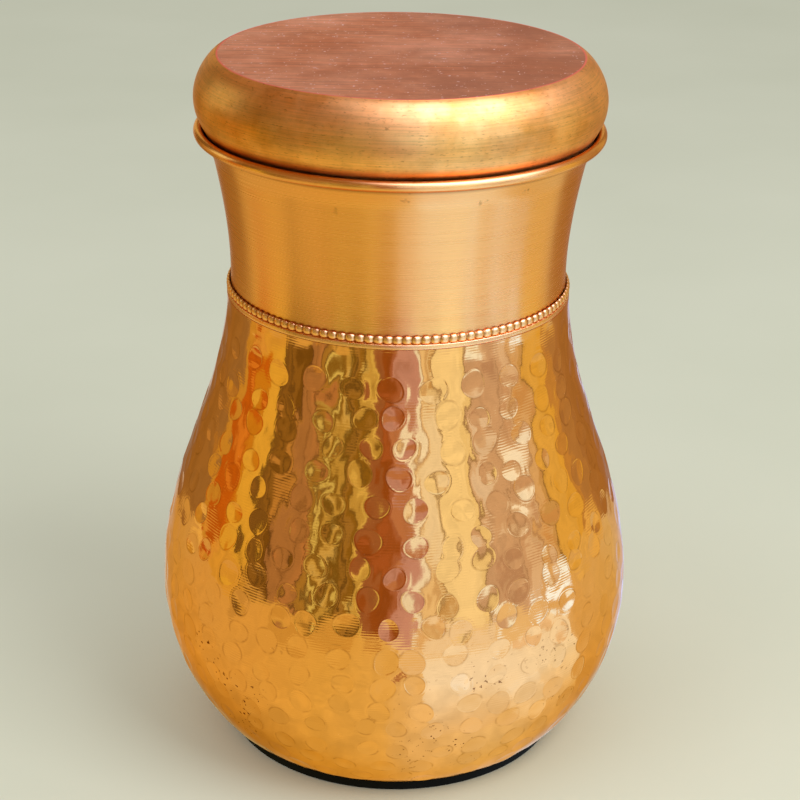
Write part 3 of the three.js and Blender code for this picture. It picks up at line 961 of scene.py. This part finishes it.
band = {
    "pearls": 120,
    "columnsPerPearl": 12,
    "pearlStand": 0.1 * mm,  # crests outside the body's top edge
    "pearlHeight": 2.4 * mm,
    "pearlThickness": 1.7 * mm,  # front to back
    "rodShare": 0.5,  # the rod between two pearls, as a share of a pearl
    "ballShare": 1.02,  # a pearl's radius R along the string, over half a pitch
    "levelShare": 0.45,  # share of the height that doesn't shrink between pearls
    "sectionAngles": (-84, 104),  # degrees, the outer part of the section that shows
    "sectionRows": 17,
    "edgeRise": 1.1 * mm,  # smooth edge of the strip under the pearls
    "edgeRound": 0.25 * mm,
    "underGap": 0.02 * mm,  # over the body's top edge
}


def makeBand():
    # Each pearl is a flattened ball strung on a thin rod: at a distance u along the string from a
    # pearl's middle, the pearl's section is scaled by sqrt(1 - (u/R)^2), never under the bare rod's,
    # and its height shrinks less than its thickness
    columns = band["pearls"] * band["columnsPerPearl"]
    turn = np.linspace(0, 2 * np.pi, columns, endpoint=False)
    pearlLow = bandLow.z + band["edgeRise"]
    low = bodyTop + band["underGap"]
    tall, thick = band["pearlHeight"] / 2, band["pearlThickness"] / 2
    centre = np.array((bodyTopRadius + band["pearlStand"] - thick, pearlLow + tall))
    pitch = 2 * np.pi / band["pearls"]
    halfPitch = pitch * centre[0] / 2
    along = ((turn / pitch + 0.5) % 1 - 0.5) * 2 * halfPitch
    ball = halfPitch * band["ballShare"]
    share = np.sqrt(np.clip(1 - (along / ball) ** 2, band["rodShare"] ** 2, None))
    angles = np.radians(np.linspace(*band["sectionAngles"], band["sectionRows"]))[:, None]
    level = band["levelShare"]
    pearlRadii = centre[0] + np.cos(angles) * thick * share
    pearlHeights = centre[1] + np.sin(angles) * tall * (level + (1 - level) * share)
    bore = neckWallRadius + seamGap
    soft = band["edgeRound"]
    edge = bodyTopRadius - soft
    before = np.vstack([
        [[bore, low], [edge, low]],
        arc((edge, low + soft), soft, -90, 0, 4),
        arc((edge, pearlLow - soft), soft, 0, 70, 4),
    ])
    after = np.array([(bore, centre[1] + tall * 0.8)])
    spread = np.ones((1, columns))
    pearlRadii = np.maximum(pearlRadii, bore + 0.01 * mm)
    radii = np.vstack([before[:, :1] * spread, pearlRadii, after[:, :1] * spread])
    heights = np.vstack([before[:, 1:] * spread, pearlHeights, after[:, 1:] * spread])
    piece = turnedPiece("pearlStrip", radii, heights, beadedCopper(), smoothAngle=65)
    # Darker brown between the pearls, and along the upper and lower edge of the string
    hollow = np.zeros(radii.shape)
    depth = (1 - share) / (1 - band["rodShare"])
    hollow[len(before):len(before) + len(angles)] = np.maximum(depth[None, :], np.abs(np.sin(angles)) ** 8)
    paintPoints(piece, "hollow", hollow)
    standFor(piece, "jug", "beaded_band")


# Lid

lid = {
    "topRadius": 51.4 * mm,
    "cornerRadius": 0.5 * mm,
    "bulge": 3.2 * mm,  # how far the side stands out past the seat
    "bulgeRise": 9.6 * mm,  # widest ring above the curl's middle
    "lipWidth": 0.6 * mm,
    # Handles of the side's three curves, as shares of each one's height and of its width or the bulge
    "shoulderPull": (0.45, 0.11, 0.43),
    "sidePull": (0.5, 0.34, 0.28),
    "tuckPull": (0.42, 0.62, 0.8),
    "collarRound": 0.2 * mm,
    "columns": 288,
}


def makeCap():
    # The outside line runs from the middle of the top over the bulging side to the lip; the inside is the
    # same line one sheet further in
    top, under = capHigh.z, capLow.z
    seatRadius = capHigh.x - lid["bulge"]
    corner = np.array((lid["topRadius"] - lid["cornerRadius"], top - lid["cornerRadius"]))
    shoulder = arc(corner, lid["cornerRadius"], 90, 50, 5)
    edge = shoulder[-1]
    widest = np.array((capHigh.x, curlHeight + lid["bulgeRise"]))
    seat = np.array((seatRadius, curlHeight))
    collarRadius = collarHigh.x
    lipEdge = np.array((collarRadius + seamGap, under))
    tuckEnd = np.array((lipEdge[0] + lid["lipWidth"], under))
    rise = edge[1] - widest[1]
    drop = lid["bulgeRise"]
    tuck = curlHeight - under
    bulge = lid["bulge"]
    edgeOut, edgeDown, widestUp = lid["shoulderPull"]
    widestDown, seatOut, seatUp = lid["sidePull"]
    seatIn, seatDown, lipOut = lid["tuckPull"]
    outside = np.vstack([
        straight((lid["topRadius"] * 0.02, top), (corner[0], top), 24),
        shoulder,
        bend(edge, (edge[0] + (widest[0] - edge[0]) * edgeOut, edge[1] - rise * edgeDown),
             (widest[0], widest[1] + rise * widestUp), widest, 24),
        bend(widest, (widest[0], widest[1] - drop * widestDown),
             (seat[0] + bulge * seatOut, seat[1] + drop * seatUp), seat, 20),
        bend(seat, (seat[0] - bulge * seatIn, seat[1] - tuck * seatDown),
             (tuckEnd[0] + bulge * lipOut, under), tuckEnd, 14),
        [lipEdge],
    ])
    inside = outside - outlineNormals(outside) * sheet
    inside[-1, 0] = lipEdge[0]
    grid = np.vstack([outside, inside[::-1]])
    columns = lid["columns"]
    radii = np.repeat(grid[:, :1], columns, axis=1)
    heights = np.repeat(grid[:, 1:], columns, axis=1)
    piece = turnedPiece("lidCap", radii, heights, brushedCopper(), poles=(top, top - sheet))
    standFor(piece, "lid", "lid_cap")


def makeCollar():
    # A plain ring, with both lower edges rounded
    outside, low, high = collarHigh.x, collarLow.z, collarHigh.z
    inside = outside - sheet
    soft = lid["collarRound"]
    outline = np.vstack([
        arc((outside - soft, low + soft), soft, -90, 0, 4),
        straight((outside, low + soft), (outside, high), 6),
        [[inside, high]],
        straight((inside, high), (inside, low + soft), 6),
        arc((inside + soft, low + soft), soft, 180, 270, 4),
    ])
    piece = turnOutline("lidCollar", outline, lid["columns"], plainCopper(), smoothAngle=50)
    standFor(piece, "lid", "lid_collar")


makeFoot()
makeBody()
makeNeck()
makeBand()
makeCap()
makeCollar()
